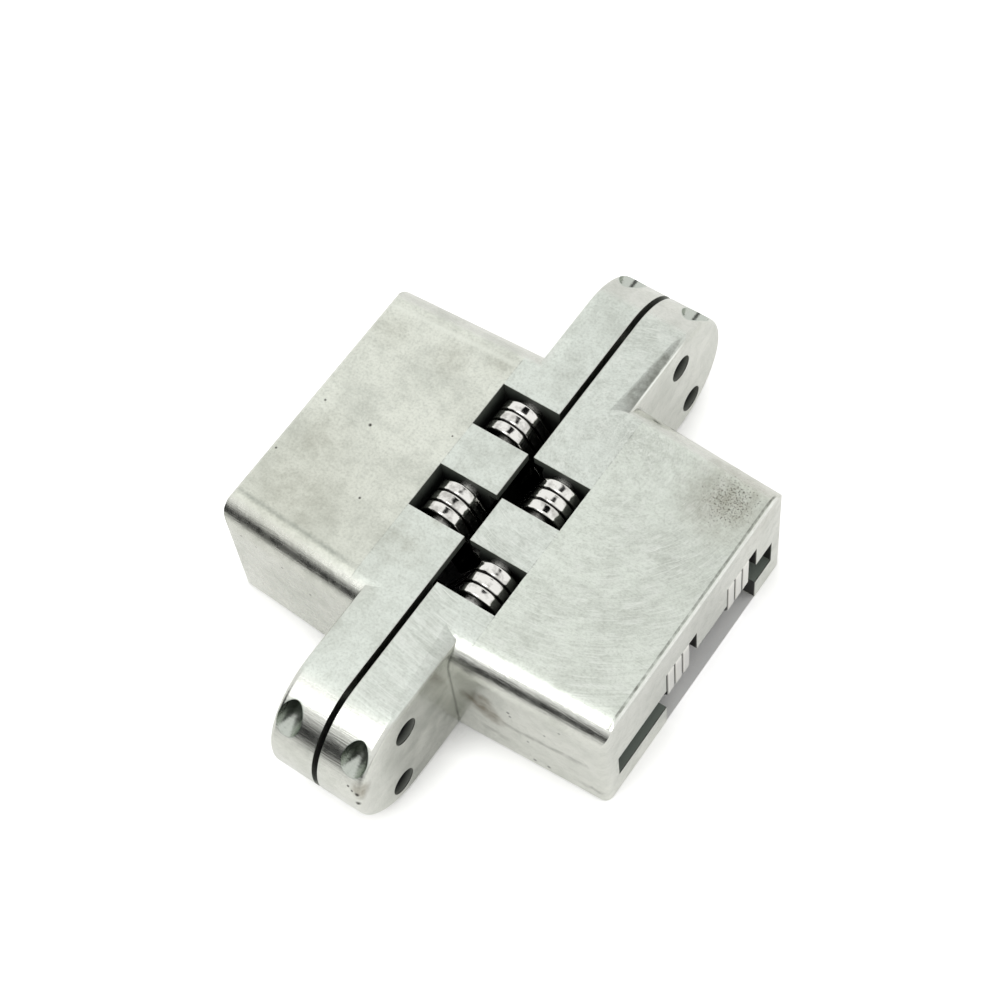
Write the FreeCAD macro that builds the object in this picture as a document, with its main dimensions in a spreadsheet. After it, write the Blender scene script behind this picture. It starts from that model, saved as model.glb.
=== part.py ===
import FreeCAD, Part
import math
import os
import Sketcher

# Concealed hinge, lying closed on one of its wide faces.
# X runs across the gap between the two leaves, Y along the gap, Z up.
# The origin is under the middle of the gap, on the face that the hinge lies on.

doc = FreeCAD.newDocument("concealed_hinge")

# Two points closer than this, in millimetres, are one place.
SAME_PLACE = 1e-6

# Driving dimensions, in millimetres and degrees.
SIZES = {
    # leaf castings
    "leaf_width": 28.6,
    "flange_length": 117.5,
    "flange_depth": 9.7,
    "flange_round": 1.2,
    "crown_width": 3.6,
    "crown_drop": 0.45,
    "crown_end_width": 0.4,
    "crown_end_drop": 0.05,
    "leaf_depth": 41.5,
    "leaf_gap": 1.2,
    "body_length": 63.6,
    "body_draft": 2.8,
    "body_round": 6.0,
    "base_round": 1.0,
    "body_corner": 2.0,
    "back_bevel": 0.7,
    # link slots
    "slot_pitch": 10.1,
    "window_clearance": 0.9,
    "floor_clearance": 1.1,
    "boss_radius": 4.9,
    "lip_depth": 2.0,
    "channel_wall": 4.1,
    "channel_clearance": 0.35,
    # screw holes through the flanges, from the flange's ends and wide faces
    "screw_diameter": 5.6,
    "screw_head": 9.4,
    "screw_head_angle": 90,
    "upper_inset": 14.3,
    "upper_depth": 7.4,
    "lower_inset": 10.8,
    "lower_height": 5.75,
    # link pivots, with the hinge closed
    "pivot_inset": 6.5,
    "pivot_depth": 4.4,
    "centre_drop": 15.0,
    "slide_inset": 10.1,
    "slide_rise": 1.7,
    "link_turn": 60,
    # pins
    "pivot_pin": 5.0,
    "pivot_pin_length": 60.0,
    "centre_pin": 4.8,
    "slide_pin": 3.2,
    "slide_pin_play": 0.4,
    "pin_chamfer": 0.4,
    "pin_clearance": 0.05,
    # links
    "link_thickness": 2.5,
    "link_edge": 0.6,
    "link_end": 4.6,
    "eye_setback": 0.5,
    "eye_drop": 0.4,
    "link_waist": 5.3,
    "link_sole": 0.3,
    "knee_radius": 2.6,
    "knee_reach": 15.5,
    "notch_radius": 2.0,
    "notch_drop": 1.0,
    "relief_clearance": 0.5,
    "head_radius": 7.2,
    "head_clearance": 0.8,
    "head_corner": 2.4,
    "heel_radius": 2.4,
    "heel_drop": 2.2,
    "tail_recess": 0.5,
}

# Places that follow from the driving dimensions.
LAYOUT = {
    "front_x": "leaf_gap / 2",
    "back_x": "front_x + leaf_depth",
    "flange_end_radius": "leaf_width / 2",
    "flange_end_y": "flange_length / 2 - flange_end_radius",
    "flange_back_x": "front_x + flange_depth",
    "crown_x": "flange_back_x - crown_width",
    "crown_z": "leaf_width - crown_drop",
    "crown_end_x": "flange_back_x - crown_end_width",
    "crown_end_z": "leaf_width - crown_end_drop",
    "flange_half": "flange_length / 2",
    # the box's half-lengths at the front and at the back, which the draft makes shorter
    "front_y": "body_length / 2",
    "back_y": "front_y - leaf_depth * tan(body_draft)",
    "front_round_y": "front_y - body_round",
    "back_round_y": "back_y - body_round",
    "round_z": "leaf_width - body_round",
    "front_base_y": "front_y - base_round",
    "back_base_y": "back_y - base_round",
    # the back's bevel and rounded corners; flank_y is the box's side where a corner starts
    "bevel_x": "back_x - back_bevel",
    "bevel_z": "leaf_width - back_bevel",
    "flank_y": "back_y + body_corner * tan(body_draft)",
    "corner_x": "back_x - body_corner",
    "corner_y": "flank_y - body_corner",
    "outside_x": "back_x + body_corner",
    "outside_y": "flank_y + body_corner",
    "two_pitches": "2 * slot_pitch",
    "upper_y": "flange_length / 2 - upper_inset",
    "upper_height": "leaf_width - upper_depth",
    "lower_y": "flange_length / 2 - lower_inset",
    "screw_radius": "screw_diameter / 2",
    # pivots
    "pivot_x": "front_x + pivot_inset",
    "pivot_height": "leaf_width - pivot_depth",
    "centre_height": "pivot_height - centre_drop",
    "slide_reach": "back_x - slide_inset",
    "slide_x": "-slide_reach",
    "slide_height": "centre_height + slide_rise",
    "pivot_bore": "pivot_pin / 2 + pin_clearance",
    "centre_bore": "centre_pin / 2 + pin_clearance",
    "slide_bore": "slide_pin / 2 + pin_clearance",
    # slots and windows
    "ceiling_z": "pivot_height - boss_radius",
    "lip_z": "leaf_width - lip_depth",
    "eye_x": "pivot_x + eye_setback",
    "eye_height": "pivot_height - eye_drop",
    "window_x": "eye_x + link_end + window_clearance",
    "floor_z": "centre_height - link_waist - floor_clearance",
    # the slide pin's height in the channel, a third of the way open and fully open
    "slide_low": "pivot_height + pivot_x * sin(link_turn * 2 / 3) - centre_drop * cos(link_turn * 2 / 3)"
                 " - slide_reach * sin(link_turn / 3) + slide_rise * cos(link_turn / 3)",
    "slide_end": "pivot_height + pivot_x * sin(2 * link_turn) - centre_drop * cos(2 * link_turn)"
                 " - slide_reach * sin(link_turn) + slide_rise * cos(link_turn)",
    "channel_y": "back_y - channel_wall",
    "channel_top": "max(slide_height; slide_end) + slide_pin / 2 + channel_clearance",
    "channel_base": "min(slide_low; slide_end) - slide_pin / 2 - channel_clearance",
    "channel_depth": "back_x - window_x",
    # link outline
    "relief_x": "-(pivot_x * cos(link_turn) + centre_drop * sin(link_turn))",
    "relief_z": "centre_height - pivot_x * sin(link_turn) + centre_drop * cos(link_turn)",
    "relief_radius": "boss_radius + relief_clearance",
    "notch_x": "-(link_waist + notch_radius + relief_clearance)",
    "notch_z": "centre_height - notch_drop",
    "tail_x": "tail_recess - back_x",
    "head_top": "ceiling_z - head_clearance",
    "head_front_x": "slide_x + head_corner",
    "head_corner_z": "head_top - head_corner",
    "tail_corner_x": "tail_x + head_corner",
    "heel_x": "tail_x + heel_radius",
    "heel_z": "slide_height - heel_drop",
    "knee_x": "-knee_reach",
    "knee_z": "link_sole + knee_radius",
    "pack_middle": "slot_pitch / 2",
    # pin lengths
    "centre_pin_length": "3 * slot_pitch + 3 * link_thickness",
    "slide_pin_length": "2 * (channel_y - slide_pin_play)",
}

sheet = doc.addObject("Spreadsheet::Sheet", "Sizes")
for row, (alias, number) in enumerate(SIZES.items(), start=1):
    sheet.set(f"A{row}", alias)
    sheet.set(f"B{row}", str(number))
    sheet.setAlias(f"B{row}", alias)

layout = doc.addObject("App::VarSet", "Layout")
for name in LAYOUT:
    layout.addProperty("App::PropertyFloat", name)


def bound(formula):
    """Write a formula of size and layout names as an expression on the document's objects."""
    words = []
    word = ""
    for letter in formula + " ":
        if letter.isalnum() or letter == "_":
            word += letter
            continue
        if word in SIZES:
            word = "Sizes." + word
        elif word in LAYOUT:
            word = "Layout." + word
        words.append(word + letter)
        word = ""
    return "".join(words).strip()


for name, formula in LAYOUT.items():
    layout.setExpression(name, bound(formula))
doc.recompute()


def value(name):
    """The number that a size or layout name stands for now."""
    if name.startswith("-"):
        return -value(name[1:])
    if name == "0":
        return 0.0
    return float(sheet.get(name)) if name in SIZES else float(getattr(layout, name))


def origin_plane(body, role):
    return next(feature for feature in body.Origin.OriginFeatures if feature.Role == role)


def new_sketch(body, name, role, offset=None):
    """A sketch on one of the body's origin planes, moved along the plane's normal by offset."""
    sketch = body.newObject("Sketcher::SketchObject", name)
    sketch.AttachmentSupport = [(origin_plane(body, role), "")]
    sketch.MapMode = "FlatFace"
    if offset:
        sketch.setExpression("AttachmentOffset.Base.z", bound(offset))
    return sketch


def bind_length(sketch, kind, references, formula):
    """Add a sketch dimension and bind it to a formula."""
    number = sketch.addConstraint(Sketcher.Constraint(kind, *references, abs(value(formula))))
    sketch.setExpression(f"Constraints[{number}]", f"abs({bound(formula)})")


def pin_point(sketch, geometry, point, x_name, y_name):
    """Hold a point of the sketch at a named place."""
    for kind, axis, name in (("DistanceX", -2, x_name), ("DistanceY", -1, y_name)):
        place = value(name)
        if place == 0:
            sketch.addConstraint(Sketcher.Constraint("PointOnObject", geometry, point, axis))
        elif place > 0:
            bind_length(sketch, kind, (-1, 1, geometry, point), name)
        else:
            bind_length(sketch, kind, (geometry, point, -1, 1), name)


def draw_polygon(sketch, corners):
    """A closed outline of straight lines through named corners."""
    points = [FreeCAD.Vector(value(x), value(y), 0) for x, y in corners]
    lines = []
    for index, start in enumerate(points):
        end = points[(index + 1) % len(points)]
        lines.append(sketch.addGeometry(Part.LineSegment(start, end)))
    for index, line in enumerate(lines):
        following = lines[(index + 1) % len(lines)]
        sketch.addConstraint(Sketcher.Constraint("Coincident", line, 2, following, 1))
        pin_point(sketch, line, 1, *corners[index])


def draw_rectangle(sketch, x_names, y_names):
    (x_low, x_high), (y_low, y_high) = x_names, y_names
    draw_polygon(sketch, [(x_low, y_low), (x_high, y_low), (x_high, y_high), (x_low, y_high)])


def draw_circle(sketch, x_name, y_name, radius_name):
    centre = FreeCAD.Vector(value(x_name), value(y_name), 0)
    circle = sketch.addGeometry(Part.Circle(centre, FreeCAD.Vector(0, 0, 1), value(radius_name)))
    bind_length(sketch, "Radius", (circle,), radius_name)
    pin_point(sketch, circle, 3, x_name, y_name)


def draw_belt(sketch, discs):
    """A closed outline of tangent lines round named discs, counter-clockwise.

    Each disc is (x, y, radius, side): side is +1 where the outline bulges round it and -1 where
    the disc bites into the outline.
    """
    centres = [FreeCAD.Vector(value(x), value(y), 0) for x, y, _, _ in discs]
    bends = [side * value(radius) for _, _, radius, side in discs]
    count = len(discs)
    headings = []
    for index in range(count):
        following = (index + 1) % count
        span = centres[following] - centres[index]
        lean = math.asin((bends[following] - bends[index]) / span.Length)
        headings.append(math.atan2(span.y, span.x) - lean)
    arcs = []
    for index, (x_name, y_name, radius_name, side) in enumerate(discs):
        quarter = side * math.pi / 2
        ends = [headings[index - 1] - quarter, headings[index] - quarter]
        if side < 0:
            ends.reverse()
        circle = Part.Circle(centres[index], FreeCAD.Vector(0, 0, 1), value(radius_name))
        arcs.append(sketch.addGeometry(Part.ArcOfCircle(circle, *ends)))
    for index in range(count):
        following = (index + 1) % count
        leave = 2 if discs[index][3] > 0 else 1
        arrive = 1 if discs[following][3] > 0 else 2
        start = sketch.getPoint(arcs[index], leave)
        end = sketch.getPoint(arcs[following], arrive)
        line = sketch.addGeometry(Part.LineSegment(start, end))
        sketch.addConstraint(Sketcher.Constraint("Tangent", arcs[index], leave, line, 1))
        sketch.addConstraint(Sketcher.Constraint("Tangent", line, 2, arcs[following], arrive))
    for arc, (x_name, y_name, radius_name, _) in zip(arcs, discs):
        bind_length(sketch, "Radius", (arc,), radius_name)
        pin_point(sketch, arc, 3, x_name, y_name)


def add_feature(body, kind, name, sketch, length, reverse=False, both_ways=False):
    """A Pad or Pocket of a sketch, its length bound to a formula."""
    feature = body.newObject("PartDesign::" + kind, name)
    feature.Profile = sketch
    feature.Reversed = reverse
    if both_ways:
        feature.SideType = "Symmetric"
    feature.setExpression("Length", bound(length))
    sketch.Visibility = False
    doc.recompute()
    return feature


def dress_edges(body, kind, name, size_property, size, wanted):
    """A Fillet or Chamfer on the edges of the body's tip that the test wants."""
    base = body.Tip
    names = [f"Edge{number}" for number, edge in enumerate(base.Shape.Edges, start=1) if wanted(edge)]
    feature = body.newObject("PartDesign::" + kind, name)
    feature.Base = (base, names)
    feature.setExpression(size_property, bound(size))
    doc.recompute()
    return feature


def new_body(label):
    body = doc.addObject("PartDesign::Body", label)
    body.Label = label
    return body


def place(body, x_name="0", y="0", z_name="0", half_turn=False):
    """Put a finished body in the hinge, turned half round about Z for the left-hand side."""
    spin = FreeCAD.Rotation(FreeCAD.Vector(0, 0, 1), 180 if half_turn else 0)
    body.Placement = FreeCAD.Placement(FreeCAD.Vector(0, 0, 0), spin)
    for axis, formula in (("x", x_name), ("y", y), ("z", z_name)):
        if formula != "0":
            body.setExpression(f"Placement.Base.{axis}", bound(formula))
    doc.recompute()


def draw_corner_cut(sketch, side):
    """The scrap outside one rounded back corner of the leaf: a square with a round bite."""
    corner, outside = side + "corner_y", side + "outside_y"
    edge = side + "flank_y"
    centre = FreeCAD.Vector(value("corner_x"), value(corner), 0)
    circle = Part.Circle(centre, FreeCAD.Vector(0, 0, 1), value("body_corner"))
    quarter = math.pi / 2
    ends = (0, quarter) if side == "" else (-quarter, 0)
    arc = sketch.addGeometry(Part.ArcOfCircle(circle, *ends))
    back, flank = (1, 2) if side == "" else (2, 1)
    corners = [("back_x", corner), ("outside_x", corner), ("outside_x", outside), ("corner_x", outside),
               ("corner_x", edge)]
    points = [FreeCAD.Vector(value(x), value(y), 0) for x, y in corners]
    lines = [sketch.addGeometry(Part.LineSegment(a, b)) for a, b in zip(points, points[1:])]
    for line, following in zip(lines, lines[1:]):
        sketch.addConstraint(Sketcher.Constraint("Coincident", line, 2, following, 1))
    for line, (x_name, y_name) in zip(lines, corners):
        pin_point(sketch, line, 1, x_name, y_name)
    pin_point(sketch, lines[-1], 2, *corners[-1])
    sketch.addConstraint(Sketcher.Constraint("Coincident", arc, back, lines[0], 1))
    sketch.addConstraint(Sketcher.Constraint("Coincident", arc, flank, lines[-1], 2))
    bind_length(sketch, "Radius", (arc,), "body_corner")


def draw_slot_mouth(sketch):
    """The mouth of a cross slot, hollowed up round the bar that carries the pivot pin."""
    centre = FreeCAD.Vector(value("pivot_x"), value("pivot_height"), 0)
    rise = math.asin((value("lip_z") - value("pivot_height")) / value("boss_radius"))
    circle = Part.Circle(centre, FreeCAD.Vector(0, 0, 1), value("boss_radius"))
    arc = sketch.addGeometry(Part.ArcOfCircle(circle, math.pi - rise, 1.5 * math.pi))
    corners = [("front_x", "lip_z"), ("front_x", "ceiling_z"), ("pivot_x", "ceiling_z")]
    points = [FreeCAD.Vector(value(x), value(z), 0) for x, z in corners]
    front = sketch.addGeometry(Part.LineSegment(points[0], points[1]))
    under = sketch.addGeometry(Part.LineSegment(points[1], points[2]))
    top = sketch.addGeometry(Part.LineSegment(sketch.getPoint(arc, 1), points[0]))
    for first, second in (((front, 2), (under, 1)), ((under, 2), (arc, 2)), ((arc, 1), (top, 1)),
                          ((top, 2), (front, 1))):
        sketch.addConstraint(Sketcher.Constraint("Coincident", *first, *second))
    sketch.addConstraint(Sketcher.Constraint("Horizontal", top))
    pin_point(sketch, front, 1, *corners[0])
    pin_point(sketch, under, 1, *corners[1])
    pin_point(sketch, under, 2, *corners[2])
    pin_point(sketch, arc, 3, "pivot_x", "pivot_height")


def draw_wedge(sketch, inner_x, outer_x, low_z):
    """A thin triangle under the top face, from inner_x down to low_z at outer_x."""
    draw_polygon(sketch, [(inner_x, "leaf_width"), (outer_x, low_z), (outer_x, "leaf_width")])


def loft_sections(body, kind, name, sections):
    """A straight loft through finished sections that adds to the body or cuts it."""
    for section in sections:
        section.Visibility = False
    doc.recompute()
    loft = body.newObject("PartDesign::" + kind, name)
    loft.Profile = sections[0]
    loft.Sections = sections[1:]
    loft.Ruled = True
    doc.recompute()


def cut_flange_crown(body, name, side):
    """Slope the flange's top towards its back edge, widest at the box and narrow at the flange's end."""
    sections = []
    for step, inner_x, low_z, y_name in (("wide", "crown_x", "crown_z", "front_round_y"),
                                         ("narrow", "crown_end_x", "crown_end_z", "flange_half")):
        section = new_sketch(body, f"{name}_{step}", "XZ_Plane", side + y_name)
        draw_wedge(section, inner_x, "flange_back_x", low_z)
        sections.append(section)
    loft_sections(body, "SubtractiveLoft", name, sections)


def make_leaf(label, half_turn):
    """One die-cast leaf: a round-ended flange with a slotted box behind it."""
    body = new_body(label)

    flange = new_sketch(body, label + "_flange_outline", "YZ_Plane", "front_x")
    draw_belt(flange, [("flange_end_y", "flange_end_radius", "flange_end_radius", 1),
                       ("-flange_end_y", "flange_end_radius", "flange_end_radius", 1)])
    add_feature(body, "Pad", label + "_flange", flange, "flange_depth")
    flange_back = value("flange_back_x")
    dress_edges(body, "Fillet", label + "_flange_rounding", "Radius", "flange_round",
                lambda edge: all(abs(vertex.X - flange_back) < SAME_PLACE for vertex in edge.Vertexes))
    cut_flange_crown(body, label + "_far_crown", "-")
    cut_flange_crown(body, label + "_near_crown", "")

    # The box tapers towards its back, so that the casting leaves its die.
    ends = []
    for end in ("front", "back"):
        section = new_sketch(body, f"{label}_box_{end}", "YZ_Plane", end + "_x")
        round_y, base_y = end + "_round_y", end + "_base_y"
        draw_belt(section, [(round_y, "round_z", "body_round", 1),
                            ("-" + round_y, "round_z", "body_round", 1),
                            ("-" + base_y, "base_round", "base_round", 1),
                            (base_y, "base_round", "base_round", 1)])
        ends.append(section)
    loft_sections(body, "AdditiveLoft", label + "_box", ends)
    bevel = new_sketch(body, label + "_bevel_section", "XZ_Plane", "front_y")
    draw_wedge(bevel, "bevel_x", "back_x", "bevel_z")
    add_feature(body, "Pocket", label + "_back_bevel", bevel, "body_length")

    corners = new_sketch(body, label + "_back_corners", "XY_Plane")
    draw_corner_cut(corners, "")
    draw_corner_cut(corners, "-")
    add_feature(body, "Pocket", label + "_corner_rounding", corners, "leaf_width", reverse=True)

    # Slots for the links that belong to the other leaf, open at the front, back and underside.
    slots = new_sketch(body, label + "_cross_slots", "YZ_Plane", "back_x")
    draw_rectangle(slots, ("-slot_pitch", "0"), ("0", "ceiling_z"))
    draw_rectangle(slots, ("slot_pitch", "two_pitches"), ("0", "ceiling_z"))
    add_feature(body, "Pocket", label + "_cross_slot", slots, "leaf_depth")
    for number, start in ((1, "slot_pitch"), (2, "-slot_pitch")):
        mouth = new_sketch(body, f"{label}_mouth_section_{number}", "XZ_Plane", start)
        draw_slot_mouth(mouth)
        add_feature(body, "Pocket", f"{label}_slot_mouth_{number}", mouth, "slot_pitch")

    # Windows for the leaf's own links: one right through, one with a floor.
    through = new_sketch(body, label + "_through_window", "XY_Plane", "leaf_width")
    draw_rectangle(through, ("front_x", "window_x"), ("0", "slot_pitch"))
    add_feature(body, "Pocket", label + "_far_window", through, "leaf_width")
    floored = new_sketch(body, label + "_floored_window", "XY_Plane", "leaf_width")
    draw_rectangle(floored, ("front_x", "window_x"), ("-two_pitches", "-slot_pitch"))
    add_feature(body, "Pocket", label + "_near_window", floored, "leaf_width - floor_z")

    # The slide pin's channel, with the space under it left open between the slots.
    channel = new_sketch(body, label + "_channel_section", "YZ_Plane", "back_x")
    draw_polygon(channel, [("-channel_y", "channel_base"), ("0", "channel_base"), ("0", "0"),
                           ("slot_pitch", "0"), ("slot_pitch", "channel_base"),
                           ("channel_y", "channel_base"), ("channel_y", "channel_top"),
                           ("-channel_y", "channel_top")])
    add_feature(body, "Pocket", label + "_channel", channel, "channel_depth")

    bore = new_sketch(body, label + "_pivot_bore", "XZ_Plane", "flange_length / 2")
    draw_circle(bore, "pivot_x", "pivot_height", "pivot_bore")
    add_feature(body, "Pocket", label + "_pivot_hole", bore, "flange_length")

    screws = new_sketch(body, label + "_screw_centres", "YZ_Plane", "front_x")
    for y_name, z_name in (("upper_y", "upper_height"), ("lower_y", "lower_height")):
        draw_circle(screws, y_name, z_name, "screw_radius")
        draw_circle(screws, "-" + y_name, z_name, "screw_radius")
    doc.recompute()
    holes = body.newObject("PartDesign::Hole", label + "_screw_holes")
    holes.Profile = screws
    holes.Reversed = True
    holes.DepthType = "ThroughAll"
    holes.HoleCutType = "Countersink"
    holes.setExpression("Diameter", bound("screw_diameter"))
    holes.setExpression("HoleCutDiameter", bound("screw_head"))
    holes.setExpression("HoleCutCountersinkAngle", bound("screw_head_angle"))
    doc.recompute()

    place(body, half_turn=half_turn)
    return body


def make_link(label, middle, half_turn):
    """One flat steel link, cut to a hook: pivot eye, cross-pin boss, knee and slide head."""
    body = new_body(label)
    outline = new_sketch(body, label + "_outline", "XZ_Plane")
    draw_belt(outline, [("eye_x", "eye_height", "link_end", 1),
                        ("notch_x", "notch_z", "notch_radius", -1),
                        ("relief_x", "relief_z", "relief_radius", -1),
                        ("head_front_x", "head_corner_z", "head_corner", 1),
                        ("tail_corner_x", "head_corner_z", "head_corner", 1),
                        ("heel_x", "heel_z", "heel_radius", 1),
                        ("slide_x", "slide_height", "head_radius", 1),
                        ("knee_x", "knee_z", "knee_radius", 1),
                        ("0", "centre_height", "link_waist", 1)])
    draw_circle(outline, "pivot_x", "pivot_height", "pivot_bore")
    draw_circle(outline, "0", "centre_height", "centre_bore")
    draw_circle(outline, "slide_x", "slide_height", "slide_bore")
    add_feature(body, "Pad", label + "_plate", outline, "link_thickness", both_ways=True)
    face_y = value("link_thickness") / 2

    def on_rim(edge):
        """True for the outline's edges on either flat face, but not for the pin holes' rims."""
        flat = all(abs(abs(vertex.Y) - face_y) < SAME_PLACE for vertex in edge.Vertexes)
        return flat and abs(edge.CenterOfMass.y) > face_y - SAME_PLACE and not edge.isClosed()

    dress_edges(body, "Fillet", label + "_rolled_edges", "Radius", "link_edge", on_rim)
    place(body, y=middle, half_turn=half_turn)
    return body


def make_pin(label, x_name, z_name, diameter, length):
    """One straight steel pin along Y with chamfered ends."""
    body = new_body(label)
    circle = new_sketch(body, label + "_circle", "XZ_Plane")
    outline = Part.Circle(FreeCAD.Vector(0, 0, 0), FreeCAD.Vector(0, 0, 1), value(diameter) / 2)
    rim = circle.addGeometry(outline)
    circle.addConstraint(Sketcher.Constraint("Coincident", rim, 3, -1, 1))
    number = circle.addConstraint(Sketcher.Constraint("Diameter", rim, value(diameter)))
    circle.setExpression(f"Constraints[{number}]", bound(diameter))
    add_feature(body, "Pad", label + "_rod", circle, length, both_ways=True)
    dress_edges(body, "Chamfer", label + "_chamfer", "Size", "pin_chamfer", lambda edge: edge.isClosed())
    place(body, x_name, "0", z_name)
    return body


pieces = [make_leaf("left_leaf", True), make_leaf("right_leaf", False)]

# Three links side by side fill each window: the right-hand links' packs stand in the first and the
# third slot, and the left-hand links are the same packs turned half round.
PACKS = ("pack_middle", "pack_middle - 2 * slot_pitch")
for side, turned in (("left", True), ("right", False)):
    number = 0
    for pack in PACKS:
        for layer in (-1, 0, 1):
            number += 1
            middle = f"{pack} + {layer} * link_thickness"
            if turned:
                middle = f"-({middle})"
            pieces.append(make_link(f"{side}_link_{number}", middle, turned))

pieces.append(make_pin("left_pivot_pin", "-pivot_x", "pivot_height", "pivot_pin", "pivot_pin_length"))
pieces.append(make_pin("right_pivot_pin", "pivot_x", "pivot_height", "pivot_pin", "pivot_pin_length"))
pieces.append(make_pin("centre_pin", "0", "centre_height", "centre_pin", "centre_pin_length"))
pieces.append(make_pin("left_slide_pin", "-slide_reach", "slide_height", "slide_pin", "slide_pin_length"))
pieces.append(make_pin("right_slide_pin", "slide_reach", "slide_height", "slide_pin", "slide_pin_length"))
doc.recompute()

for item in doc.Objects:
    if "Invalid" in item.State or "Error" in item.State:
        raise RuntimeError(f"{item.Label} did not compute: {item.State}")

os.makedirs("parts", exist_ok=True)
for piece in pieces:
    if piece.Shape.isNull() or not piece.Shape.isValid() or len(piece.Shape.Solids) != 1:
        raise RuntimeError(f"{piece.Label} is not one valid solid")
    piece.Shape.exportStep(f"parts/{piece.Label}.step")
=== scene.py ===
# %% [markdown]
# This lesson dresses a concealed hinge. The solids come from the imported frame, already at their real size
# and place, so nothing here moves them. What is left to make is what the eye reads as metal: the finish of
# the zinc castings and of the steel links, a plain studio round them, and a camera where the photographer
# stood.

# %% Load the frame
import math

import bpy
import numpy as np
from mathutils import Matrix, Vector


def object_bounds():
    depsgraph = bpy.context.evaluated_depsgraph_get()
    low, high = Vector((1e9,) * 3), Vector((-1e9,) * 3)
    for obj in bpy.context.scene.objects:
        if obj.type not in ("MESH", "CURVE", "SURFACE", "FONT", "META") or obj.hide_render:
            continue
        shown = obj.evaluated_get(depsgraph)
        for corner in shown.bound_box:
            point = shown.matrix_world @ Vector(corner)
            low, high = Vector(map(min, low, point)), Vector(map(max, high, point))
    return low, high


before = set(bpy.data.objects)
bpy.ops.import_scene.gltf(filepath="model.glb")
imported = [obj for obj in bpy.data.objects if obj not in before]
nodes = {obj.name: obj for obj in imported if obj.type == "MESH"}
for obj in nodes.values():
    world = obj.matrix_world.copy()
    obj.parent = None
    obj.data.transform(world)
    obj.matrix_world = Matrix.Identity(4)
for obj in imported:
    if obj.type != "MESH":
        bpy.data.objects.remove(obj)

cad_low, cad_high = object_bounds()
scene = bpy.context.scene
MM = 0.001
print("nodes:", len(nodes), "size in mm:", [round((b - a) / MM, 1) for a, b in zip(cad_low, cad_high)])

# %% [markdown]
# The camera looks steeply down on the closed hinge from beyond its right-hand near corner. A long lens from
# about 40 cm keeps the edges nearly parallel, and the small roll is the photographer's own tilt.

# %% Camera
CAMERA_PLACE = Vector((136.4, -149.6, 382.0)) * MM
CAMERA_TARGET = Vector((-5.0, 5.5, 14.3)) * MM
CAMERA_ROLL = math.radians(-8.6)
LENS_MM = 81.2
SENSOR_MM = 36.0
CLIP_START = 0.01

camera = bpy.data.objects.new("camera", bpy.data.cameras.new("camera"))
camera.data.lens = LENS_MM
camera.data.sensor_width = SENSOR_MM
camera.data.clip_start = CLIP_START
aim = (CAMERA_TARGET - CAMERA_PLACE).to_track_quat("-Z", "Y").to_matrix().to_4x4()
camera.matrix_world = Matrix.Translation(CAMERA_PLACE) @ aim @ Matrix.Rotation(CAMERA_ROLL, 4, "Z")
scene.collection.objects.link(camera)
scene.camera = camera
print("camera right:", [round(v, 4) for v in camera.matrix_world.col[0][:3]])

# %% [markdown]
# Every colour below is written as the sRGB hex that a colour picker shows, so one function turns it into
# the linear numbers that shaders use. One more small function adds a node, sets its options and joins its
# inputs.

# %% Helpers for colours and nodes


def to_linear(hex_code, alpha=1.0):
    """sRGB hex to linear RGBA: below 0.04045 divide by 12.92, else ((c + 0.055) / 1.055) to the power 2.4."""
    channels = [int(hex_code[i:i + 2], 16) / 255 for i in (1, 3, 5)]
    return [c / 12.92 if c <= 0.04045 else ((c + 0.055) / 1.055) ** 2.4 for c in channels] + [alpha]


def add_node(tree, kind, inputs=None, give=0, **settings):
    """Add a node, set its options, fill or link its inputs, and return the output that give names."""
    node = tree.nodes.new("ShaderNode" + kind)
    for option, setting in settings.items():
        setattr(node, option, setting)
    for key, source in (inputs or {}).items():
        if isinstance(source, bpy.types.NodeSocket):
            tree.links.new(source, node.inputs[key])
        else:
            node.inputs[key].default_value = source
    return node.outputs[give] if node.outputs else node


def new_material(name):
    """An empty node material with its Principled shader already joined to the output."""
    material = bpy.data.materials.new(name)
    material.use_nodes = True
    tree = material.node_tree
    tree.nodes.clear()
    surface = add_node(tree, "BsdfPrincipled")
    add_node(tree, "OutputMaterial", {"Surface": surface})
    return material, tree, surface.node


# %% [markdown]
# Marks and shades have places. These helpers make masks, numbers from 0 to 1 over the surface, out of the
# point's own coordinates, so a mark stays on its casting when the hinge opens. Masks multiply where all of
# them have to hold.

# %% Masks by place
FAR = 1000.0


def near_spot(tree, place, centre, reach):
    """1 at a spot, falling evenly with distance to 0 at reach."""
    away = add_node(tree, "VectorMath", {0: place, 1: centre}, "Value", operation="DISTANCE")
    return add_node(tree, "MapRange", {0: away, 1: reach, 2: 0.0})


def within(tree, coordinate, low, high, soft):
    """1 while a coordinate lies between two limits and 0 outside, with edges as wide as soft."""
    rise = add_node(tree, "MapRange", {0: coordinate, 1: low - soft / 2, 2: low + soft / 2})
    fall = add_node(tree, "MapRange", {0: coordinate, 1: high + soft / 2, 2: high - soft / 2})
    return add_node(tree, "Math", {0: rise, 1: fall}, operation="MULTIPLY")


def all_of(tree, *masks):
    """The product of masks: 1 only where each of them is 1."""
    whole = masks[0]
    for mask in masks[1:]:
        whole = add_node(tree, "Math", {0: whole, 1: mask}, operation="MULTIPLY")
    return whole


def in_box(tree, coordinates, limits):
    """1 inside a box, given for each coordinate by its low and high limit and soft edge in millimetres."""
    masks = []
    for coordinate, (low, high, soft) in zip(coordinates, limits):
        masks.append(within(tree, coordinate, low * MM, high * MM, soft * MM))
    return all_of(tree, *masks)


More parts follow.
